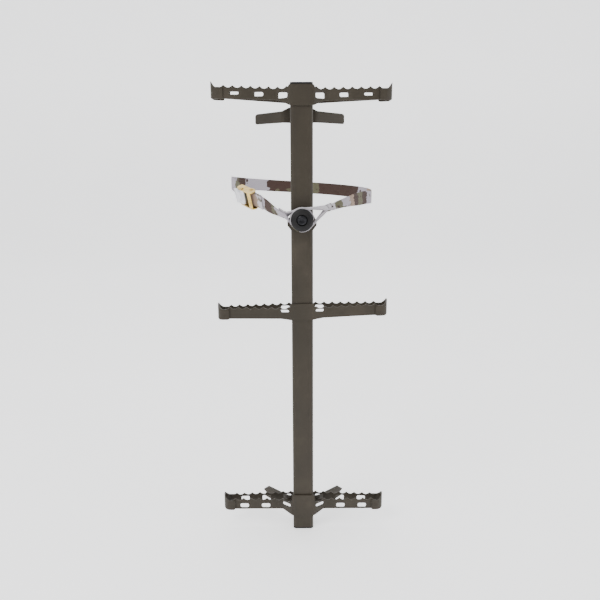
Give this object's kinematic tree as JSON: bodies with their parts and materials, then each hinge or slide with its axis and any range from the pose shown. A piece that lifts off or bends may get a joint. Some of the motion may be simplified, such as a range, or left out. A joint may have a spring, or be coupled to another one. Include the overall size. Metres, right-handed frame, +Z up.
{
  "type": "climbing stick",
  "caption": "Strap-on climbing stick for a tree: rectangular steel tube, double-sided toothed steps, V brackets and a cam-buckle webbing strap.",
  "frame": {"origin": "the point of the trunk's surface line, level with the bracket tips and halfway between the two brackets", "axes": "+Z up along the tube, +Y from the stick into the trunk, +X to the climber's right as they face the trunk"},
  "size_m": [0.305, 0.3828, 0.8171],
  "materials": {
    "powder_coat": "fine textured powder coat, olive brown, satin",
    "cap_plastic": "moulded, matt",
    "button_plastic": "moulded, fine grain",
    "black_bolt": "black oxide, slight sheen",
    "zinc_steel": "bright zinc",
    "yellow_zinc": "yellow zinc plate, glossy",
    "lever_steel": "cast, bright, lightly worn",
    "webbing": "woven camouflage webbing of grey, olive and dark brown patches"
  },
  "bodies": {
    "stick": {"main_tube": "powder_coat", "top_bracket": "powder_coat", "bottom_bracket": "powder_coat", "strap_guide_plate": "powder_coat", "top_step_front": "powder_coat", "top_step_rear": "powder_coat", "top_left_clip": "powder_coat", "top_right_clip": "powder_coat", "middle_step_front": "powder_coat", "middle_step_rear": "powder_coat", "middle_left_clip": "powder_coat", "middle_right_clip": "powder_coat", "bottom_step_front": "powder_coat", "bottom_step_rear": "powder_coat", "bottom_left_clip": "powder_coat", "bottom_right_clip": "powder_coat", "top_end_cap": "cap_plastic", "bottom_end_cap": "cap_plastic", "button_core": "button_plastic", "button_head": "button_plastic", "button_bolt": "black_bolt", "button_washer": "zinc_steel", "button_lock_nut": "zinc_steel", "buckle_frame": "yellow_zinc", "cam_pin": "yellow_zinc", "strap_bar": "yellow_zinc", "short_strap": "webbing", "long_strap": "webbing"},
    "cam": {"cam_lever": "lever_steel", "cam_spring": "zinc_steel"}
  },
  "joints": [
    {"name": "cam_release", "type": "hinge", "parent": "stick", "child": "cam", "pos_m": [-0.10785, 0.00717, 0.23239], "axis": [0.1629, 0.3192, -0.9336], "range_deg": [0, 24], "stiffness_Nm_per_rad": 0.05, "springref_deg": -22.92}
  ]
}
